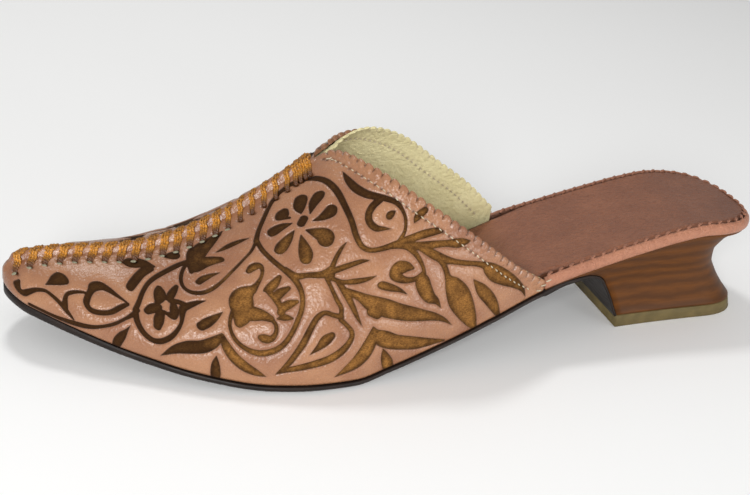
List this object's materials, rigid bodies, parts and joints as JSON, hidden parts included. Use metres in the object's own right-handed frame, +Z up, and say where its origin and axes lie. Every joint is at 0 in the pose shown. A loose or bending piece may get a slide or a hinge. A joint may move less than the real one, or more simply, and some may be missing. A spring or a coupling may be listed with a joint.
{
  "type": "babouche slipper",
  "caption": "Backless pointed-toe leather slipper with a raised laced centre seam, tooled floral quarters, scalloped collar and low sculpted heel.",
  "frame": {"origin": "on the floor, under the middle of the shoe's bounding box", "axes": "+X towards the toe, +Y towards the outer (lateral) side of this left shoe, +Z up"},
  "size_m": [0.265, 0.081, 0.0641],
  "materials": {
    "upper_leather": "smooth rose-tan leather with burnished brown tooled pattern, semi-gloss",
    "insole_leather": "fine-grained dusty rose-brown leather, satin",
    "rand_leather": "smooth rose leather rolled over the seat edge, satin",
    "outsole_leather": "dark brown dyed sole leather, matt with a burnished edge",
    "heel_wood": "polished warm brown stacked heel with soft horizontal bands",
    "lift_rubber": "moulded olive-khaki rubber, matt",
    "lining_leather": "soft pale olive-cream lining leather, matt",
    "lacing_thread": "twisted orange-gold silky thread",
    "stitch_thread": "pale waxed stitching thread"
  },
  "bodies": {
    "root": {"upper": "upper_leather", "insole": "insole_leather", "rand": "rand_leather", "outsole": "outsole_leather", "heel": "heel_wood", "top_lift": "lift_rubber"}
  },
  "joints": []
}
